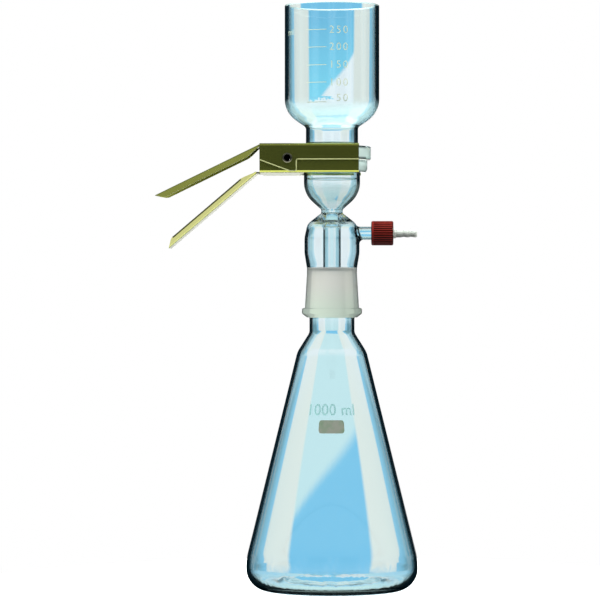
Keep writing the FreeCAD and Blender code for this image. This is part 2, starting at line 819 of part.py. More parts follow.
os.makedirs("parts", exist_ok=True)
for part in parts:
    part.Shape.exportStep(f"parts/{part.Label}.step")
    print(f"{part.Label}: {part.Shape.Volume:.1f} mm3")
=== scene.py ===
"""Looks of the vacuum filtration unit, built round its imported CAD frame.

Metres, in the frame's own axes: +Z up the vessels' common axis, +X along the side arm,
and the clamp's handles point to -X.
"""

import math

import bmesh
import bpy
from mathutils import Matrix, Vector
from mathutils.bvhtree import BVHTree


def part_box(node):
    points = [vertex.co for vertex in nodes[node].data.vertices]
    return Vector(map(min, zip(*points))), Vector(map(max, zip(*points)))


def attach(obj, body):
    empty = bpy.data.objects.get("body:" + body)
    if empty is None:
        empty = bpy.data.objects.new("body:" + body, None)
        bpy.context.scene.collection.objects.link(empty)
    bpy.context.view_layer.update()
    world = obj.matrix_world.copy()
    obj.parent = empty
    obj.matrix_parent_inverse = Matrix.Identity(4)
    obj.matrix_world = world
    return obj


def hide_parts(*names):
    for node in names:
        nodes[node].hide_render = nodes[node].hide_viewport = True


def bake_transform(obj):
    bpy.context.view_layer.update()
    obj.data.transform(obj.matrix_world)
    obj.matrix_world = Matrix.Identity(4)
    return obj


MM = 0.001

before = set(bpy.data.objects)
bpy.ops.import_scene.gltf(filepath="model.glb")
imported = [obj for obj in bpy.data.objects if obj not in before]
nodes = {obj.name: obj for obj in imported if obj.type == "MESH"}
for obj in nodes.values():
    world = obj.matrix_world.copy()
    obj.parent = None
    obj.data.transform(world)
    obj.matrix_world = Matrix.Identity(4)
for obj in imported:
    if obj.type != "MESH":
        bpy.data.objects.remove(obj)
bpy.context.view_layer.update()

# ---------------------------------------------------------------- places read from the frame

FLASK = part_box("flask")
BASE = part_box("filter_base")
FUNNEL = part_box("funnel")
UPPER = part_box("clamp_upper_arm")
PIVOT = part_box("clamp_pivot_tube")
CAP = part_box("screw_cap")

JOINT_BOTTOM = BASE[0].z
JOINT_TOP = FLASK[1].z
FLANGES = FUNNEL[0].z
MOUTH = FUNNEL[1].z
FLASK_RADIUS = FLASK[1].y
CAP_RADIUS = (CAP[1].y - CAP[0].y) / 2
ARM_HEIGHT = (CAP[0].z + CAP[1].z) / 2
ARM_END = BASE[1].x
PIVOT_PLACE = Vector(((PIVOT[0].x + PIVOT[1].x) / 2, 0, (PIVOT[0].z + PIVOT[1].z) / 2))


# ---------------------------------------------------------------- shader helpers

def new_material(name):
    """An empty node material, with its output node."""
    material = bpy.data.materials.new(name)
    material.use_nodes = True
    material.node_tree.nodes.clear()
    output = material.node_tree.nodes.new("ShaderNodeOutputMaterial")
    return material, material.node_tree, output


def add(tree, kind, inputs=(), **settings):
    """A node with its settings, whose inputs are numbers, colours or sockets to link."""
    node = tree.nodes.new(kind)
    for name, value in settings.items():
        setattr(node, name, value)
    for key, value in dict(inputs).items():
        if isinstance(value, bpy.types.NodeSocket):
            tree.links.new(value, node.inputs[key])
        else:
            node.inputs[key].default_value = value
    return node


def math_node(tree, operation, *values, clamp=False):
    """The result of one Math node."""
    node = add(tree, "ShaderNodeMath", enumerate(values), operation=operation, use_clamp=clamp)
    return node.outputs[0]


def vector_node(tree, operation, inputs):
    """The outputs of one Vector Math node."""
    return add(tree, "ShaderNodeVectorMath", inputs, operation=operation).outputs


def rescale(tree, value, source, target=(0.0, 1.0), smooth=False):
    """A value carried from one range to another, and held at its ends."""
    node = add(tree, "ShaderNodeMapRange",
               {"Value": value, "From Min": source[0], "From Max": source[1],
                "To Min": target[0], "To Max": target[1]},
               interpolation_type="SMOOTHSTEP" if smooth else "LINEAR")
    return node.outputs[0]


def ramp(tree, factor, stops):
    """The colour of a ramp, given as (position, colour) pairs."""
    node = add(tree, "ShaderNodeValToRGB", {"Fac": factor})
    elements = node.color_ramp.elements
    while len(elements) < len(stops):
        elements.new(0.5)
    for element, (position, colour) in zip(elements, stops):
        element.position = position
        element.color = (*colour, 1)
    return node.outputs["Color"]


def mix_colour(tree, factor, first, second):
    """A blend of two colours."""
    node = add(tree, "ShaderNodeMix", data_type="RGBA")
    for key, value in ((0, factor), (6, first), (7, second)):
        if isinstance(value, bpy.types.NodeSocket):
            tree.links.new(value, node.inputs[key])
        else:
            node.inputs[key].default_value = value if key == 0 else (*value, 1)
    return node.outputs[2]


def mix_shaders(tree, factor, first, second):
    """A blend of the shaders of two nodes."""
    return add(tree, "ShaderNodeMixShader",
               {0: factor, 1: first.outputs[0], 2: second.outputs[0]})


def object_place(tree):
    """The point that is shaded, in object space."""
    return add(tree, "ShaderNodeTexCoord").outputs["Object"]


def separate(tree, vector):
    """The parts of a vector, by their axis."""
    return add(tree, "ShaderNodeSeparateXYZ", {"Vector": vector}).outputs


def hypotenuse(tree, first, second):
    """The length of two parts that stand square to each other."""
    squares = [math_node(tree, "MULTIPLY", part, part) for part in (first, second)]
    return math_node(tree, "SQRT", math_node(tree, "ADD", *squares))


def from_arm_axis(tree, parts):
    """The distance of a place from the side arm's axis."""
    rise = math_node(tree, "SUBTRACT", parts["Z"], ARM_HEIGHT)
    return hypotenuse(tree, parts["Y"], rise)


def noise(tree, scale, detail=3.0, stretch=(1, 1, 1)):
    """Noise in object space, in features per metre, stretched by axis."""
    mapped = add(tree, "ShaderNodeMapping", {"Vector": object_place(tree), "Scale": stretch})
    texture = add(tree, "ShaderNodeTexNoise",
                  {"Vector": mapped.outputs[0], "Scale": scale, "Detail": detail})
    return texture.outputs["Fac"]


def bump(tree, height, strength, distance):
    """A normal disturbed by a height."""
    node = add(tree, "ShaderNodeBump",
               {"Height": height, "Strength": strength, "Distance": distance})
    return node.outputs["Normal"]


# ---------------------------------------------------------------- glass

GLASS_TINT = (0.94, 0.975, 0.98)
GLASS_IOR = 1.47
# the shares of mirrored light at which a wall starts to darken and is darkest
LOSS_RANGE = (0.15, 0.80)
LOSS_LIMIT = 0.97
EDGE_COLOUR = (0.001, 0.005, 0.008, 1)
RIM_COLOUR = (0.74, 0.92, 0.88, 1)
SHADOW_TINT = (0.90, 0.95, 0.96, 1)
GROUND_ROUGHNESS = 0.55
GROUND_SCATTER = 0.75
# the side arm: its reach from its own axis, and how far from the vessels' axis it starts
ARM_REACH = 11 * MM
ARM_ROOT = 12 * MM
# where the chamber narrows to the joint: see in_ring
CHAMBER_TAPER = (JOINT_TOP + MM, ARM_HEIGHT - 6 * MM, 14 * MM, 24 * MM, 4 * MM)


def in_ring(tree, low, high, inner, outer, fade=0.0):
    """1 inside a ring round the vessels' axis, 0 outside it, with faded upper and lower ends."""
    parts = separate(tree, object_place(tree))
    across = hypotenuse(tree, parts["X"], parts["Y"])
    mask = math_node(tree, "MULTIPLY", math_node(tree, "GREATER_THAN", across, inner),
                     math_node(tree, "LESS_THAN", across, outer))
    for limit, inward in ((low, 1), (high, -1)):
        past = math_node(tree, "MULTIPLY", math_node(tree, "SUBTRACT", parts["Z"], limit), inward)
        share = math_node(tree, "DIVIDE", past, max(fade, 0.01 * MM), clamp=True)
        mask = math_node(tree, "MULTIPLY", mask, share)
    return mask


def turned_normal(tree, arm):
    """The normal of a body turned about Z, without the facets of its mesh.

    A body with a side arm keeps the mesh's own normal there. It is taken as plumb where
    its chamber narrows to the joint, so that its two faces stay parallel.
    """
    coordinates = add(tree, "ShaderNodeTexCoord").outputs
    place, normal = coordinates["Object"], coordinates["Normal"]
    flat = vector_node(tree, "MULTIPLY", {0: place, 1: (1, 1, 0)})[0]
    radial = vector_node(tree, "NORMALIZE", {0: flat})[0]
    outward = vector_node(tree, "DOT_PRODUCT", {0: normal, 1: radial})["Value"]
    level = vector_node(tree, "SCALE", {0: radial, "Scale": outward})[0]
    upward = vector_node(tree, "MULTIPLY", {0: normal, 1: (0, 0, 1)})[0]
    if arm:
        keep = math_node(tree, "SUBTRACT", 1.0, in_ring(tree, *CHAMBER_TAPER))
        upward = vector_node(tree, "SCALE", {0: upward, "Scale": keep})[0]
    turned = vector_node(tree, "ADD", {0: level, 1: upward})[0]
    if arm:
        turned = vector_node(tree, "NORMALIZE", {0: turned})[0]
        parts = separate(tree, place)
        near = math_node(tree, "LESS_THAN", from_arm_axis(tree, parts), ARM_REACH)
        beside = math_node(tree, "GREATER_THAN", parts["X"], ARM_ROOT)
        own = add(tree, "ShaderNodeMix", {0: math_node(tree, "MULTIPLY", near, beside),
                                          4: turned, 5: normal}, data_type="VECTOR")
        turned = own.outputs[1]
    world = add(tree, "ShaderNodeVectorTransform", {"Vector": turned}, vector_type="NORMAL",
                convert_from="OBJECT", convert_to="WORLD")
    return world.outputs[0]


def grind(tree, shader, rings):
    """Frost a glass shader inside some rings. The result is their mask."""
    mask = in_ring(tree, *rings[0])
    for ring in rings[1:]:
        mask = math_node(tree, "MAXIMUM", mask, in_ring(tree, *ring))
    height = rescale(tree, separate(tree, object_place(tree))["Z"], (JOINT_BOTTOM, JOINT_TOP))
    frost = ramp(tree, height, [(0.0, (0.86, 0.92, 0.80)), (0.7, (0.97, 0.92, 0.86))])
    scatter = math_node(tree, "MULTIPLY", mask, GROUND_SCATTER)
    for name, value in (
            ("Roughness", math_node(tree, "MULTIPLY", mask, GROUND_ROUGHNESS)),
            ("Transmission Weight", math_node(tree, "SUBTRACT", 1.0, scatter)),
            ("Base Color", mix_colour(tree, mask, GLASS_TINT, frost))):
        tree.links.new(value, shader.inputs[name])
    return mask


def make_glass(name, ground=(), tones=(), rims=(), thick=(), arm=False):
    """Clear glass, with rings as in_ring takes them, some of them with a share.

    Light that the wall would throw back inside itself is lost, so that a wall seen edge on
    is dark from every side. The tones scale that loss, the rims gather a share of light,
    the thick rings lose a share of what would leave through them, and the ground rings
    are frosted.
    """
    material, tree, output = new_material(name)
    shader = add(tree, "ShaderNodeBsdfPrincipled",
                 {"Base Color": (*GLASS_TINT, 1), "Transmission Weight": 1.0,
                  "Roughness": 0.0, "IOR": GLASS_IOR})
    turned = turned_normal(tree, arm)
    waves = bump(tree, noise(tree, 22.0, 1.0, (1, 1, 0.6)), 0.03, 0.0004)
    tree.links.new(turned, waves.node.inputs["Normal"])
    tree.links.new(waves, shader.inputs["Normal"])

    loss = add(tree, "ShaderNodeFresnel", {"IOR": GLASS_IOR, "Normal": turned}).outputs[0]
    loss = rescale(tree, loss, LOSS_RANGE, (0.0, LOSS_LIMIT))
    for ring, share in tones:
        gain = math_node(tree, "MULTIPLY_ADD", in_ring(tree, *ring), share - 1.0, 1.0)
        loss = math_node(tree, "MINIMUM", math_node(tree, "MULTIPLY", loss, gain), LOSS_LIMIT)
    path = add(tree, "ShaderNodeLightPath").outputs
    outside = math_node(tree, "LESS_THAN", path["Transmission Depth"], 0.5)
    for ring, share in thick:
        share = math_node(tree, "MULTIPLY", outside, share)
        loss = math_node(tree, "MAXIMUM", loss,
                         math_node(tree, "MULTIPLY", in_ring(tree, *ring), share))
    if ground:
        mask = grind(tree, shader, ground)
        loss = math_node(tree, "MULTIPLY", loss, math_node(tree, "SUBTRACT", 1.0, mask))
    dark = add(tree, "ShaderNodeBsdfDiffuse", {"Color": EDGE_COLOUR})
    glass = mix_shaders(tree, loss, shader, dark)

    for ring, weight in rims:
        glow = add(tree, "ShaderNodeBsdfDiffuse", {"Color": RIM_COLOUR})
        facing = add(tree, "ShaderNodeLayerWeight", {"Blend": 0.5, "Normal": turned}).outputs[1]
        facing = math_node(tree, "SUBTRACT", 1.0, math_node(tree, "POWER", facing, 2.0))
        share = math_node(tree, "MULTIPLY", in_ring(tree, *ring),
                          math_node(tree, "MULTIPLY", facing, weight))
        glass = mix_shaders(tree, share, glass, glow)
    shadow = add(tree, "ShaderNodeBsdfTransparent", {"Color": SHADOW_TINT})
    glass = mix_shaders(tree, path["Is Shadow Ray"], glass, shadow)
    tree.links.new(glass.outputs[0], output.inputs["Surface"])
    return material


# ---------------------------------------------------------------- solid materials

# where along X the painted light on the lower handle starts, and where it is full: the handle's
# end is painted paler, standing in for light from below
LIT_HANDLE_RANGE = (PIVOT_PLACE.x - 23 * MM, PIVOT_PLACE.x - 29 * MM)


def make_clamp_metal(name, tone, handle=None):
    """Folded sheet with a satin olive-gold finish, whose tone scales its colour: a tone below 1
    is painted shade, above 1 painted light.

    A handle colour, if given, is blended in towards the handle's end as painted light, standing
    in for the light from below on the lower handle.
    """
    material, tree, output = new_material(name)
    cloud = noise(tree, 28.0, 3.0, (0.4, 1, 1))
    colour = ramp(tree, cloud, [(0.3, (0.49 * tone, 0.54 * tone, 0.09 * tone)),
                                (0.7, (0.55 * tone, 0.60 * tone, 0.12 * tone))])
    if handle is not None:
        # painted light: towards its end the handle is blended to a paler colour
        worn_and_lit = rescale(tree, separate(tree, object_place(tree))["X"], LIT_HANDLE_RANGE)
        colour = mix_colour(tree, worn_and_lit, colour, handle)
    grain = noise(tree, 500.0, 2.0, (0.1, 1, 1))
    rough = rescale(tree, grain, (0.0, 1.0), (0.20, 0.27))
    shader = add(tree, "ShaderNodeBsdfPrincipled",
                 {"Base Color": colour, "Metallic": 0.96, "Roughness": rough,
                  "Coat Weight": 0.5, "Coat Roughness": 0.2,
                  "Normal": bump(tree, grain, 0.012, 0.00005)})
    tree.links.new(shader.outputs[0], output.inputs["Surface"])
    return material


def make_steel(name, colour, roughness, bore=None):
    """Drawn or plated steel, with painted shade inside a bore (place, radius) that lies along Y:
    near black there.
    """
    material, tree, output = new_material(name)
    grain = noise(tree, 900.0, 2.0, (1, 0.2, 1))
    rough = rescale(tree, grain, (0.0, 1.0), (roughness * 0.8, roughness * 1.3))
    finish = add(tree, "ShaderNodeBsdfPrincipled",
                 {"Base Color": (*colour, 1), "Metallic": 1.0, "Roughness": rough})
    if bore is not None:
        centre, radius = bore
        flat = vector_node(tree, "MULTIPLY", {0: object_place(tree), 1: (1, 0, 1)})[0]
        away = vector_node(tree, "DISTANCE", {0: flat, 1: (centre.x, 0, centre.z)})["Value"]
        inside = math_node(tree, "LESS_THAN", away, radius)
        # painted shade: the inside of the bore is near-black matt, standing in for the shade in
        # the hole
        painted_bore_shade = add(tree, "ShaderNodeBsdfDiffuse", {"Color": (0.006, 0.006, 0.005, 1)})
        finish = mix_shaders(tree, inside, finish, painted_bore_shade)
    tree.links.new(finish.outputs[0], output.inputs["Surface"])
    return material


def make_plastic(name, dark, light, roughness, through=0.0, grooves=None, gloss=0.5):
    """Moulded plastic, with a faint cloud and the fine skin of its mould.

    The grooves (root radius, crest radius, tone) round the side arm's axis hold shade.
    """
    material, tree, output = new_material(name)
    colour = ramp(tree, noise(tree, 120.0), [(0.3, dark), (0.7, light)])
    if grooves is not None:
        root, crest, tone = grooves
        away = from_arm_axis(tree, separate(tree, object_place(tree)))
        shade = rescale(tree, away, (root, crest), (1.0, 0.0))
        colour = mix_colour(tree, shade, colour, tuple(channel * tone for channel in dark))
    shader = add(tree, "ShaderNodeBsdfPrincipled",
                 {"Base Color": colour, "Roughness": roughness,
                  "Specular IOR Level": gloss, "Subsurface Weight": through,
                  "Subsurface Radius": (1, 1, 1), "Subsurface Scale": 8 * MM,
                  "Normal": bump(tree, noise(tree, 2500.0, 2.0), 0.06, 0.0001)})
    tree.links.new(shader.outputs[0], output.inputs["Surface"])
    return material


def make_porous(name, colour, scale):
    """Matt white stock with fine pores: sintered glass, or a filter membrane."""
    material, tree, output = new_material(name)
    pores = noise(tree, scale)
    tone = ramp(tree, pores, [(0.35, tuple(channel * 0.9 for channel in colour)),
                              (0.65, colour)])
    shader = add(tree, "ShaderNodeBsdfPrincipled",
                 {"Base Color": tone, "Roughness": 0.85,
                  "Normal": bump(tree, pores, 0.3, 0.0002)})
    tree.links.new(shader.outputs[0], output.inputs["Surface"])
    return material


def make_coat(name, worn_and_lit, colour, scale=700.0):
    """A thin matt coat, with wear in places: fired enamel on glass; it also gives the painted
    highlight and painted shade of the strips along the clamp's edges.
    """
    material, tree, output = new_material(name)
    tone = ramp(tree, noise(tree, scale, 2.0), [(0.35, worn_and_lit), (0.6, colour)])
    shader = add(tree, "ShaderNodeBsdfPrincipled", {"Base Color": tone, "Roughness": 0.6})
    tree.links.new(shader.outputs[0], output.inputs["Surface"])
    return material


# ---------------------------------------------------------------- CAD nodes get their looks

SHARP_ANGLE = math.radians(32)
WELD_DISTANCE = 0.002 * MM
SHEET_BEVEL = 0.3 * MM

# rings round the vessels' axis: low, high, inner radius, outer radius and fade, see in_ring
GROUND_JOINT = (JOINT_BOTTOM - 0.2 * MM, JOINT_TOP + 3 * MM, 15.2 * MM, 17.6 * MM)
GROUND_FLANGE = (FLANGES - 0.3 * MM, FLANGES + 0.1 * MM, 20.5 * MM, 29.3 * MM)
BOTH_FLANGES = (FLANGES - 12 * MM, FLANGES + 11 * MM, 22 * MM, 31 * MM)
UPPER_FLANGE = (FLANGES + 0.5 * MM, FLANGES + 9.5 * MM, 22 * MM, 31 * MM, 2 * MM)
LOWER_FLANGE = (FLANGES - 10 * MM, FLANGES - 0.5 * MM, 22 * MM, 31 * MM, 2 * MM)
FLASK_PUNT = (-MM, 12 * MM, 0, FLASK_RADIUS - 9 * MM)
FLASK_FOOT = (-5 * MM, 6.5 * MM, FLASK_RADIUS - 11 * MM, FLASK_RADIUS, 3 * MM)
FUNNEL_NECK = (FLANGES + 10 * MM, FLANGES + 25 * MM, 15 * MM, 22 * MM, 1.5 * MM)
FUNNEL_SHOULDER = (FLANGES + 24 * MM, FLANGES + 46 * MM, 20 * MM, 40 * MM, 6 * MM)
MILKY_SHOULDER = (FLANGES + 22 * MM, FLANGES + 46 * MM, 20 * MM, 40 * MM, 7 * MM)
FUNNEL_BARREL = (FLANGES + 46 * MM, MOUTH + MM, 30 * MM, 40 * MM, 4 * MM)
FUNNEL_RIM = (MOUTH - 1.1 * MM, MOUTH + 0.1 * MM, 30 * MM, 40 * MM)
MILKY_BOWL = (FLANGES - 42 * MM, FLANGES - 16 * MM, 7 * MM, 22 * MM, 5 * MM)
BASE_THROAT = (ARM_HEIGHT + 2 * MM, FLANGES - 34 * MM, 0, 19 * MM, 2 * MM)
SIDE_ARM = (ARM_HEIGHT - 10 * MM, ARM_HEIGHT + 10 * MM, 19.5 * MM, 45 * MM)


def smooth_node(name, material, bevel=0.0):
    """Give a CAD node its material, and shade it smooth between its sharp edges."""
    node = nodes[name]
    node.data.materials.clear()
    node.data.materials.append(material)
    node.data.polygons.foreach_set("use_smooth", [True] * len(node.data.polygons))
    weld = node.modifiers.new("weld", "WELD")
    weld.merge_threshold = WELD_DISTANCE
    if bevel:
        edge = node.modifiers.new("bevel", "BEVEL")
        edge.width = bevel
        edge.segments = 3
        edge.limit_method = "ANGLE"
        edge.angle_limit = SHARP_ANGLE
    else:
        split = node.modifiers.new("split", "EDGE_SPLIT")
        split.split_angle = SHARP_ANGLE
        split.use_edge_sharp = False
    # large faces rule the normals beside small rounds, so that a straight wall stays straight
    weighted = node.modifiers.new("weighted", "WEIGHTED_NORMAL")
    weighted.mode = "FACE_AREA"
    weighted.weight = 100


smooth_node("flask", make_glass(
    "flask_glass", ground=[GROUND_JOINT], tones=[(FLASK_PUNT, 0.0)],
    thick=[(FLASK_FOOT, 0.98)]))
smooth_node("filter_base", make_glass(
    "base_glass", ground=[GROUND_JOINT, GROUND_FLANGE],
    tones=[(BOTH_FLANGES, 0.1), (BASE_THROAT, 0.3), (SIDE_ARM, 0.6)],
    rims=[(LOWER_FLANGE, 0.75), (MILKY_BOWL, 0.12)], arm=True))
smooth_node("funnel", make_glass(
    "funnel_glass", ground=[GROUND_FLANGE],
    tones=[(BOTH_FLANGES, 0.1), (FUNNEL_SHOULDER, 0.25), (FUNNEL_NECK, 3.5),
           (FUNNEL_BARREL, 2.2)],
    rims=[(FUNNEL_RIM, 0.45), (UPPER_FLANGE, 0.75), (MILKY_SHOULDER, 0.12)]))
# painted light and shade: the same olive sheet gets a darker tone on the upper arm and a lighter
# one on the lower arm
smooth_node("clamp_upper_arm", make_clamp_metal("upper_arm_metal", 0.86), SHEET_BEVEL)
# the lower arm's paler handle colour is painted light from below
smooth_node("clamp_lower_arm", make_clamp_metal(
    "lower_arm_metal", 1.06, handle=(0.58, 0.60, 0.21)), SHEET_BEVEL)
smooth_node("clamp_pivot_tube", make_steel(
    "pivot_steel", (0.30, 0.30, 0.22), 0.3, bore=(PIVOT_PLACE, 2.6 * MM)))
smooth_node("hose_nozzle", make_plastic(
    "nozzle_plastic", (0.54, 0.58, 0.52), (0.60, 0.63, 0.57), 0.42, through=1.0,
    grooves=(2.6 * MM, 3.9 * MM, 0.75)))
smooth_node("nozzle_seal", make_plastic(
    "seal_rubber", (0.55, 0.55, 0.52), (0.62, 0.62, 0.60), 0.6))
smooth_node("screw_cap", make_plastic(
    "cap_plastic", (0.18, 0.015, 0.010), (0.22, 0.022, 0.016), 0.32,
    grooves=(CAP_RADIUS - 0.45 * MM, CAP_RADIUS, 0.12), gloss=0.1))
smooth_node("frit_disc", make_porous("sintered_glass", (0.88, 0.89, 0.87), 4000.0))
smooth_node("membrane_filter", make_porous("membrane", (0.93, 0.93, 0.92), 6000.0))


# ---------------------------------------------------------------- mesh helpers

def new_object(name, data):
    """An object of the scene."""
    thing = bpy.data.objects.new(name, data)
    bpy.context.scene.collection.objects.link(thing)
    return thing


def finished_mesh(builder, name):
    """A mesh from its builder, which is freed."""
    mesh = bpy.data.meshes.new(name)
    builder.to_mesh(mesh)
    builder.free()
    return mesh


# ---------------------------------------------------------------- prints on the glass

PRINT_LIFT = 0.1 * MM
# farther from the axis than any glass
OUTSIDE = 0.2
# figures, their line's height, and how far above it they stand, in millimetres
FUNNEL_MARKS = (("250", 423.1, 0), ("200", 410.0, 0.4), ("150", 396.6, 0.4),
                ("100", 383.6, 0), ("50", 368.8, 3.2))
# bearings in degrees: the right ends of the funnel's figures and unit, all else's left ends
LINE_BEARING, FIGURE_BEARING, UNIT_BEARING = -29.5, 21.5, -51.0
SIZE_BEARING, FIELD_BEARING = -28.0, -12.4
UNIT_HEIGHT, SIZE_HEIGHT, FIELD_HEIGHT = 422.4 * MM, 138.3 * MM, 125.6 * MM


def surface_of(node):
    """The search tree of a node's mesh."""
    mesh = node.data
    return BVHTree.FromPolygons([vertex.co for vertex in mesh.vertices],
                                [polygon.vertices for polygon in mesh.polygons])


def wrap(mesh, surface, bearing, height):
    """Lay a flat mesh, drawn in X and Y, on the outside of a vessel.

    The bearing is in degrees round the axis, from the front towards the side arm.
    """
    middle = math.radians(bearing)
    outward = Vector((math.sin(middle), -math.cos(middle), 0))
    start = surface.ray_cast(outward * OUTSIDE + Vector((0, 0, height)), -outward)[0]
    radius = math.hypot(start.x, start.y)
    for vertex in mesh.vertices:
        angle = middle + vertex.co.x / radius
        outward = Vector((math.sin(angle), -math.cos(angle), 0))
        level = Vector((0, 0, height + vertex.co.y))
        place, normal, *_ = surface.ray_cast(outward * OUTSIDE + level, -outward)
        vertex.co = place + normal * PRINT_LIFT


def print_piece(name, meshes, material):
    """One piece from several wrapped meshes."""
    builder = bmesh.new()
    for mesh in meshes:
        builder.from_mesh(mesh)
        bpy.data.meshes.remove(mesh)
    joined = finished_mesh(builder, name)
    joined.materials.append(material)
    piece = new_object(name, joined)
    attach(piece, "vessels")


def figures(text, size, spacing, align="RIGHT", stretch=1.0, weight=-0.01):
    """A flat mesh of figures, centred in height and stretched in width.

    The weight thickens their strokes, or thins them if it is negative, in sizes of the type.
    """
    curve = bpy.data.curves.new("figures", "FONT")
    curve.body = text
    curve.size = size
    curve.space_character = spacing
    curve.align_x = align
    curve.align_y = "CENTER"
    curve.offset = weight * size
    holder = bpy.data.objects.new("figures", curve)
    mesh = bpy.data.meshes.new_from_object(holder)
    bpy.data.objects.remove(holder)
    bpy.data.curves.remove(curve)
    low = min(vertex.co.y for vertex in mesh.vertices)
    high = max(vertex.co.y for vertex in mesh.vertices)
    for vertex in mesh.vertices:
        vertex.co.x *= stretch
        vertex.co.y -= (low + high) / 2
    return mesh


def strip(length, width, corner=0.0, columns=24, rows=1):
    """A flat strip from X = 0, with many columns, and rounded ends if it has a corner."""
    builder = bmesh.new()
    grid = []
    for column in range(columns + 1):
        along = column / columns * length
        inset = 0.0
        end = min(along, length - along)
        if end < corner:
            inset = corner - math.sqrt(corner**2 - (corner - end)**2)
        half = width / 2 - inset
        grid.append([builder.verts.new((along, half * (2 * row / rows - 1), 0))
                     for row in range(rows + 1)])
    for first, second in zip(grid, grid[1:]):
        for row in range(rows):
            builder.faces.new((first[row], second[row], second[row + 1], first[row + 1]))
    return finished_mesh(builder, "strip")


def print_funnel():
    """The funnel's scale, with its unit."""
    surface = surface_of(nodes["funnel"])
    meshes = []
    for text, height, lift in FUNNEL_MARKS:
        line = strip(15.5 * MM, 0.45 * MM)
        wrap(line, surface, LINE_BEARING, height * MM)
        number = figures(text, 8 * MM, 1.3)
        wrap(number, surface, FIGURE_BEARING, (height + lift) * MM)
        meshes += [line, number]
    unit = figures("ml", 6.8 * MM, 1.0, stretch=1.2)
    wrap(unit, surface, UNIT_BEARING, UNIT_HEIGHT)
    enamel = make_coat("white_enamel", (0.48, 0.57, 0.42), (0.55, 0.64, 0.48))
    print_piece("funnel_scale", [*meshes, unit], enamel)


def print_flask():
    """The flask's size, with its field for notes."""
    surface = surface_of(nodes["flask"])
    label = figures("1000 ml", 12 * MM, 1.05, "LEFT", 0.9, 0.008)
    wrap(label, surface, SIZE_BEARING, SIZE_HEIGHT)
    enamel = make_coat("teal_enamel", (0.19, 0.38, 0.38), (0.25, 0.45, 0.45))
    print_piece("flask_size", [label], enamel)
    field = strip(19.2 * MM, 9.8 * MM, 2 * MM, 32, 8)
    wrap(field, surface, FIELD_BEARING, FIELD_HEIGHT)
    enamel = make_coat("grey_enamel", (0.13, 0.20, 0.13), (0.20, 0.22, 0.18), 130.0)
    print_piece("flask_note_field", [field], enamel)


print_funnel()
print_flask()


# ---------------------------------------------------------------- seam, thread, spring, and painted light and shade along the clamp's edges

BEAD_SIDES = 12
EVERYWHERE = (0, 1, 0, 1)
SEAM_RADIUS, SEAM_BEAD = 18.9 * MM, 0.45 * MM
SEAM_HEIGHT = FLANGES - 14.3 * MM
THREAD_RADIUS, THREAD_BEAD, THREAD_PITCH = 6.15 * MM, 0.7 * MM, 2.5 * MM
THREAD_START, THREAD_END = ARM_END - 9.2 * MM, ARM_END - MM
EDGE_LIFT = 0.03 * MM
EDGE_MATCH = 0.05 * MM


def bead(points, radius):
    """A round bead of mesh along a list of points, closed if its ends meet."""
    builder = bmesh.new()
    closed = (points[0] - points[-1]).length < 0.01 * MM
    if closed:
        points = points[:-1]
    turns = [step * math.tau / BEAD_SIDES for step in range(BEAD_SIDES)]
    rings = []
    for index, point in enumerate(points):
        before = points[index - 1] if closed or index else point
        after = points[(index + 1) % len(points)] if closed or index + 1 < len(points) else point
        ahead = (after - before).normalized()
        if rings:
            side = (side - ahead * side.dot(ahead)).normalized()
        else:
            side = ahead.orthogonal().normalized()
        other = ahead.cross(side)
        rings.append([builder.verts.new(
            point + (side * math.cos(turn) + other * math.sin(turn)) * radius)
            for turn in turns])
    pairs = list(zip(rings, rings[1:]))
    if closed:
        pairs.append((rings[-1], rings[0]))
    else:
        builder.faces.new(reversed(rings[0]))
        builder.faces.new(rings[-1])
    for first, second in pairs:
        for step in range(BEAD_SIDES):
            after = (step + 1) % BEAD_SIDES
            builder.faces.new((first[step], first[after], second[after], second[step]))
    bmesh.ops.recalc_face_normals(builder, faces=builder.faces)
    mesh = finished_mesh(builder, "bead")
    mesh.polygons.foreach_set("use_smooth", [True] * len(mesh.polygons))
    return mesh


def add_seam():
    """The bead of glass that holds the frit in the bowl."""
    around = 96
    points = [Vector((math.cos(turn) * SEAM_RADIUS, math.sin(turn) * SEAM_RADIUS, SEAM_HEIGHT))
              for turn in (step * math.tau / around for step in range(around + 1))]
    mesh = bead(points, SEAM_BEAD)
    mesh.materials.append(make_glass("seam_glass", tones=[(EVERYWHERE, 2.0)]))
    seam = new_object("frit_seam", mesh)
    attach(seam, "vessels")


def add_thread():
    """The rounded right-hand thread on the end of the side arm."""
    around = 40
    points = []
    for step in range(int((THREAD_END - THREAD_START) / THREAD_PITCH * around) + 1):
        turn = step / around * math.tau
        points.append(Vector((THREAD_START + step / around * THREAD_PITCH,
                              math.cos(turn) * THREAD_RADIUS,
                              ARM_HEIGHT + math.sin(turn) * THREAD_RADIUS)))
    mesh = bead(points, THREAD_BEAD)
    mesh.materials.append(make_glass("thread_glass", tones=[(EVERYWHERE, 0.5)]))
    thread = new_object("side_arm_thread", mesh)
    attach(thread, "vessels")


def add_spring():
    """The torsion spring: a smooth steel copy of the CAD spring's mesh, which stands in place of
    the CAD node.
    """
    spring = new_object("torsion_spring", nodes["clamp_spring"].data.copy())
    spring.data.materials.clear()
    spring.data.materials.append(make_steel("spring_wire", (0.56, 0.56, 0.54), 0.25))
    spring.data.polygons.foreach_set("use_smooth", [True] * len(spring.data.polygons))
    weld = spring.modifiers.new("weld", "WELD")
    weld.merge_threshold = WELD_DISTANCE
    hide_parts("clamp_spring")
    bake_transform(spring)


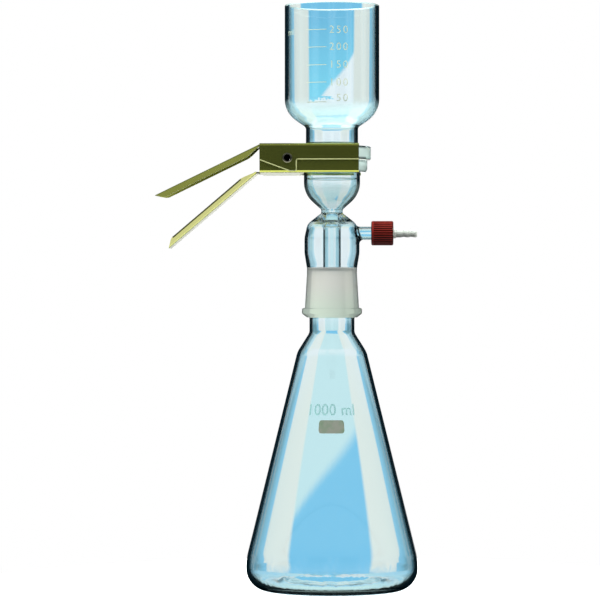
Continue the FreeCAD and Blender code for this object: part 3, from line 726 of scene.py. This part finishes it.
def add_cut_edges(name, node, body, finish, width, limit, wanted):
    """Strips along the cut edges of an arm's outermost walls, short of a limit in X, that carry
    painted highlight and painted shade.

    An edge is wanted by the normal of its cut face and by its place.
    """
    builder = bmesh.new()
    builder.from_mesh(nodes[node].data)
    bmesh.ops.remove_doubles(builder, verts=builder.verts, dist=WELD_DISTANCE)
    builder.normal_update()
    edges = bmesh.new()
    wall = max(vertex.co.y for vertex in builder.verts if vertex.co.x < limit)
    for edge in builder.edges:
        if len(edge.link_faces) != 2:
            continue
        start, end = (vertex.co for vertex in edge.verts)
        if start.x >= limit or abs(abs(start.y) - wall) >= EDGE_MATCH:
            continue
        for face, cut in (edge.link_faces, reversed(edge.link_faces)):
            outer = abs(face.normal.y) > 0.8 and face.normal.y * start.y > 0
            if not (outer and abs(cut.normal.y) < 0.6 and wanted(cut.normal, start)):
                continue
            inward = face.normal.cross(end - start).normalized()
            if inward.dot(face.calc_center_median() - start) < 0:
                inward.negate()
            lift = face.normal * EDGE_LIFT
            corners = [start, end, end + inward * width, start + inward * width]
            edges.faces.new([edges.verts.new(corner + lift) for corner in corners])
    builder.free()
    bmesh.ops.recalc_face_normals(edges, faces=edges.faces)
    joined = finished_mesh(edges, name)
    joined.materials.append(finish)
    piece = new_object(name, joined)
    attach(piece, body)


add_seam()
add_thread()
add_spring()
# painted highlight: a paler strip along the upper arm's downward-facing edges, where the edge
# catches light from below
add_cut_edges(
    "clamp_edge_highlight", "clamp_upper_arm", "upper_arm",
    make_coat("painted_edge_highlight", (0.42, 0.45, 0.20), (0.52, 0.55, 0.27)), 0.75 * MM,
    UPPER[1].x - 0.5 * MM,
    lambda normal, start: normal.z < -0.3 or normal.x > 0.5 and start.z < PIVOT_PLACE.z)
# painted shade: a dark strip along the lower handle's upper edge, where the trough's edge lies in
# shadow
add_cut_edges(
    "handle_painted_shade", "clamp_lower_arm", "vessels",
    make_coat("painted_edge_shade", (0.07, 0.08, 0.02), (0.10, 0.11, 0.03)), 1.2 * MM,
    PIVOT_PLACE.x - 25 * MM, lambda normal, start: normal.z > 0.3)


# ---------------------------------------------------------------- camera, floor and lights

CAMERA_AZIMUTH = -2.5
CAMERA_DISTANCE = 2.36
VIEW_WIDTH = 0.456
VIEW_CENTRE = (-0.0243, 0.2204)
SENSOR_WIDTH = 36
FLOOR_RADIUS = 0.3
FLOOR_DROP = 0.2 * MM
AIM = (0, 0, 0.25)
BOUNCES = 24


def add_camera():
    """The camera stands level with the middle of the unit, a little to the side arm's side."""
    turn = math.radians(CAMERA_AZIMUTH)
    right = Vector((math.cos(turn), -math.sin(turn), 0))
    ahead = Vector((math.sin(turn), math.cos(turn), 0))
    target = right * VIEW_CENTRE[0] + Vector((0, 0, VIEW_CENTRE[1]))
    data = bpy.data.cameras.new("camera")
    data.sensor_width = SENSOR_WIDTH
    data.lens = SENSOR_WIDTH * CAMERA_DISTANCE / VIEW_WIDTH
    camera = new_object("camera", data)
    camera.location = target - ahead * CAMERA_DISTANCE
    camera.rotation_euler = ahead.to_track_quat("-Z", "Y").to_euler()
    bpy.context.scene.camera = camera


def add_floor():
    """A round white sheet under the unit, which only the camera sees."""
    builder = bmesh.new()
    bmesh.ops.create_circle(builder, cap_ends=True, radius=FLOOR_RADIUS, segments=96)
    floor = new_object("floor", finished_mesh(builder, "floor"))
    floor.location.z = -FLOOR_DROP
    material, tree, output = new_material("floor_paper")
    paper = add(tree, "ShaderNodeBsdfDiffuse", {"Color": (0.9, 0.9, 0.9, 1)})
    glow = add(tree, "ShaderNodeEmission", {"Color": (1, 1, 1, 1), "Strength": 0.45})
    both = add(tree, "ShaderNodeAddShader", {0: paper.outputs[0], 1: glow.outputs[0]})
    tree.links.new(both.outputs[0], output.inputs["Surface"])
    floor.data.materials.append(material)
    floor.visible_transmission = False
    floor.visible_glossy = False
    floor.visible_diffuse = False


def add_softbox(name, place, width, height, radiance, aim=AIM, colour=(1, 1, 1)):
    """A rectangular softbox, by its radiance, which only matt surfaces see."""
    data = bpy.data.lights.new(name, "AREA")
    data.shape = "RECTANGLE"
    data.size, data.size_y = width, height
    data.energy = radiance * math.pi * width * height
    data.color = colour
    light = new_object(name, data)
    light.location = place
    light.rotation_euler = (Vector(aim) - Vector(place)).to_track_quat("-Z", "Y").to_euler()
    light.visible_camera = False
    light.visible_glossy = False
    light.visible_transmission = False


# ---------------------------------------------------------------- world

# the field behind the glass comes round every eighth of a turn, so that each side shows it
FIELD_PERIOD = math.radians(45)
# degrees from the camera's axis to the middle of the field that is behind the unit
FIELD_SHIFT = 0.5
# degrees from the field's middle: where its sheets start and end, where their edges are
# done, and where the field is darkest
SHEET_START, SHEET_START_DONE = 1.75, 2.05
SHEET_END, SHEET_END_DONE = 5.5, 5.9
FIELD_END = 9.0
BLUE, SKY, CYAN = (0.20, 0.60, 0.90), (0.20, 0.58, 0.85), (0.26, 0.80, 1.02)
CREAM, PALE, WHITE = (0.86, 0.90, 0.85), (0.68, 0.90, 0.92), (1.0, 1.02, 1.04)
BRIGHT, TEAL = (0.90, 0.95, 0.98), (0.14, 0.30, 0.37)


def grey(level):
    """A colour without a hue."""
    return (level, level, level)


def half_plane(tree, turn, rise, through, lean, soft):
    """1 on the right of a leaning line through (turn, rise) in degrees, 0 on its left."""
    turn_at, rise_at = (math.radians(angle) for angle in through)
    slope = math.tan(math.radians(lean))
    edge = math_node(tree, "ADD", turn_at, math_node(
        tree, "MULTIPLY", math_node(tree, "SUBTRACT", rise, rise_at), slope))
    half = math.radians(soft) / 2
    return rescale(tree, math_node(tree, "SUBTRACT", turn, edge), (-half, half), smooth=True)


def leaning(tree, turn, rise, slope):
    """How far out a direction lies in a field whose sheets lean apart as they rise."""
    spread = math_node(tree, "MULTIPLY_ADD", rise, slope, 1.01)
    spread = math_node(tree, "MINIMUM", math_node(tree, "MAXIMUM", spread, 0.6), 1.5)
    away = math_node(tree, "DIVIDE", math_node(tree, "ABSOLUTE", turn), spread)
    return math_node(tree, "DIVIDE", away, FIELD_PERIOD / 2)


def at(degrees):
    """The place that leaning gives to an angle from the field's middle."""
    return math.radians(degrees) / (FIELD_PERIOD / 2)


def field_colour(tree, azimuth, rise):
    """One field: a blue middle that a pale veil crosses, and a bright sheet on each side."""
    in_front = math_node(tree, "LESS_THAN", math_node(tree, "ABSOLUTE", azimuth),
                         FIELD_PERIOD / 2)
    shift = math_node(tree, "MULTIPLY", in_front, math.radians(CAMERA_AZIMUTH + FIELD_SHIFT))
    start = math_node(tree, "SUBTRACT", shift, FIELD_PERIOD / 2)
    turn = math_node(tree, "SUBTRACT", azimuth, start)
    turn = math_node(tree, "SUBTRACT", math_node(
        tree, "FLOORED_MODULO", turn, FIELD_PERIOD), FIELD_PERIOD / 2)
    along, within = leaning(tree, turn, rise, 3.4), leaning(tree, turn, rise, 1.75)
    height = rescale(tree, rise, (math.radians(-6), math.radians(6)))

    middle = ramp(tree, height, [(0.0, BLUE), (0.3, BLUE), (0.8, CYAN), (0.93, SKY)])
    veil = ramp(tree, height, [(0.3, PALE), (0.45, PALE), (0.75, WHITE)])
    lower = half_plane(tree, turn, rise, (0.0, -3.02), 65.6, 0.9)
    upper = half_plane(tree, turn, rise, (0.8, 4.15), 76.0, 0.5)
    veiled = math_node(tree, "MULTIPLY", upper, math_node(tree, "SUBTRACT", 1.0, lower))
    middle = mix_colour(tree, math_node(tree, "MULTIPLY", veiled, 0.9), middle, veil)

    side = ramp(tree, along, [(at(SHEET_END_DONE), (0.27, 0.63, 0.88)),
                              (at(7.4), (0.22, 0.52, 0.70)), (at(FIELD_END), TEAL)])
    # the field is paler beside the chamber
    paler = ramp(tree, height, [(0.50, grey(0)), (0.56, grey(0.8)), (0.69, grey(0.8)),
                                (0.74, grey(0))])
    side = mix_colour(tree, paler, side, ramp(tree, along, [
        (at(SHEET_END_DONE), (0.66, 0.88, 0.95)), (at(FIELD_END), (0.42, 0.66, 0.76))]))
    sheet = ramp(tree, height, [(0.36, CREAM), (0.56, BRIGHT), (0.70, BRIGHT), (0.78, CREAM)])
    on_sheet = rescale(tree, along, (at(SHEET_END_DONE), at(SHEET_END)))
    side = mix_colour(tree, on_sheet, side, sheet)
    inside = rescale(tree, within, (at(SHEET_START), at(SHEET_START_DONE)), (1.0, 0.0),
                     smooth=True)
    return mix_colour(tree, inside, side, middle)


def glass_colour(tree, azimuth, rise):
    """What clear glass shows: the field, with its sky above and its bench below."""
    above = ramp(tree, math_node(tree, "DIVIDE", rise, math.pi / 2), [
        (0.10, (0.50, 0.80, 0.92)),
        (0.18, (0.60, 0.82, 0.84)),
        (0.30, (0.75, 0.92, 0.92)),
        (0.45, (0.9, 1.0, 1.0)),
    ])
    below = ramp(tree, math_node(tree, "DIVIDE", rise, -math.pi / 2), [
        (0.08, BLUE),
        (0.15, (0.36, 0.68, 0.86)),
        (0.24, (0.50, 0.80, 0.88)),
        (0.33, (0.62, 0.88, 0.88)),
        (0.60, (0.75, 0.98, 0.92)),
    ])
    upward = rescale(tree, rise, (math.radians(8), math.radians(14)), smooth=True)
    downward = rescale(tree, rise, (math.radians(-6.5), math.radians(-12)), smooth=True)
    seen = mix_colour(tree, upward, field_colour(tree, azimuth, rise), above)
    return mix_colour(tree, downward, seen, below)


def room_colour(tree, parts, ahead):
    """What lights the matt pieces: dark behind the camera, bright beyond and on top."""
    room = ramp(tree, ahead, [
        (0.00, (0.03, 0.035, 0.035)),
        (0.35, (0.12, 0.13, 0.13)),
        (0.60, (0.80, 0.82, 0.82)),
        (1.00, grey(1)),
    ])
    room = mix_colour(tree, rescale(tree, parts["Z"], (0.45, 0.8)), room, grey(1.1))
    return mix_colour(tree, rescale(tree, parts["Z"], (0.1, -0.3)), room, grey(0.16))


def mirror_colour(tree, parts, ahead, path):
    """What mirrors show: dark in front and beyond, bright under and above the unit."""
    mirror = ramp(tree, ahead, [
        (0.00, (0.035, 0.038, 0.035)),
        (0.35, (0.10, 0.11, 0.11)),
        (0.55, (0.05, 0.09, 0.10)),
        (0.70, (0.005, 0.02, 0.03)),
    ])
    bench = ramp(tree, rescale(tree, parts["Z"], (-1.0, 1.0)), [
        (0.20, grey(1)),
        (0.38, grey(0)),
        (0.62, grey(0)),
        (0.80, grey(0.28)),
        (0.86, grey(0.24)),
        (0.95, grey(0.05)),
    ])
    # clear glass is too smooth to show the bench
    bench = math_node(tree, "MULTIPLY", bench,
                      math_node(tree, "SUBTRACT", 1.0, path["Is Singular Ray"]))
    grazing = rescale(tree, parts["Y"], (0.4, 0.8), (1.0, 0.15))
    mirror = mix_colour(tree, math_node(tree, "MULTIPLY", bench, grazing), mirror,
                        (1.55, 1.5, 1.6))
    # a face that lies level shows the white beyond it
    level = math_node(tree, "ABSOLUTE", math_node(tree, "ADD", parts["Z"], 0.07))
    level = rescale(tree, level, (0.08, 0.03))
    beyond = math_node(tree, "GREATER_THAN", parts["Y"], 0.975)
    return mix_colour(tree, math_node(tree, "MULTIPLY", level, beyond), mirror, grey(1.6))


def make_world():
    """White behind the unit, and a world of its own for glass, matt pieces and mirrors."""
    world = bpy.data.worlds.new("studio")
    bpy.context.scene.world = world
    world.use_nodes = True
    tree = world.node_tree
    tree.nodes.clear()
    parts = separate(tree, add(tree, "ShaderNodeTexCoord").outputs["Generated"])
    azimuth = math_node(tree, "ARCTAN2", parts["X"], parts["Y"])
    rise = math_node(tree, "ARCSINE", parts["Z"])
    ahead = rescale(tree, parts["Y"], (-1.0, 1.0))
    path = add(tree, "ShaderNodeLightPath").outputs

    # mirrors are the solid pieces, and the glass where it is ground
    outside = math_node(tree, "LESS_THAN", path["Transmission Depth"], 0.5)
    ground = math_node(tree, "SUBTRACT", path["Is Reflection Ray"], path["Is Singular Ray"],
                       clamp=True)
    mirrored = math_node(tree, "MULTIPLY",
                         math_node(tree, "GREATER_THAN", path["Glossy Depth"], 0.5),
                         math_node(tree, "MAXIMUM", outside, ground))
    scattered = math_node(tree, "GREATER_THAN", path["Diffuse Depth"], 0.5)
    seen = mix_colour(tree, mirrored, glass_colour(tree, azimuth, rise),
                      mirror_colour(tree, parts, ahead, path))
    seen = mix_colour(tree, scattered, seen, room_colour(tree, parts, ahead))
    seen = mix_colour(tree, path["Is Camera Ray"], seen, grey(1))
    background = add(tree, "ShaderNodeBackground", {"Color": seen, "Strength": 1.0})
    output = add(tree, "ShaderNodeOutputWorld")
    tree.links.new(background.outputs[0], output.inputs["Surface"])


def set_view():
    """Plain colours, and enough bounces for the light to pass through every wall."""
    scene = bpy.context.scene
    scene.view_settings.view_transform = "Standard"
    scene.cycles.max_bounces = BOUNCES
    scene.cycles.transmission_bounces = BOUNCES
    scene.cycles.glossy_bounces = BOUNCES
    scene.cycles.transparent_max_bounces = BOUNCES
    scene.cycles.caustics_reflective = False
    scene.cycles.caustics_refractive = False


add_camera()
add_floor()
make_world()
for side, name in ((-1, "left"), (1, "right")):
    add_softbox(f"softbox_{name}", (side * 1.1, 0.05, 0.35), 0.55, 1.0, 3.5,
                colour=(1.0, 0.98, 0.90))
    add_softbox(f"fill_{name}", (side * 1.1, -0.45, 0.5), 0.5, 1.0, 2.6)
add_softbox("softbox_top", (-0.2, -0.1, 1.4), 0.8, 0.8, 18.0, aim=(0, 0, 0.2))
add_softbox("fill_front", (0.05, -1.0, 1.6), 1.6, 0.8, 4.0)
set_view()
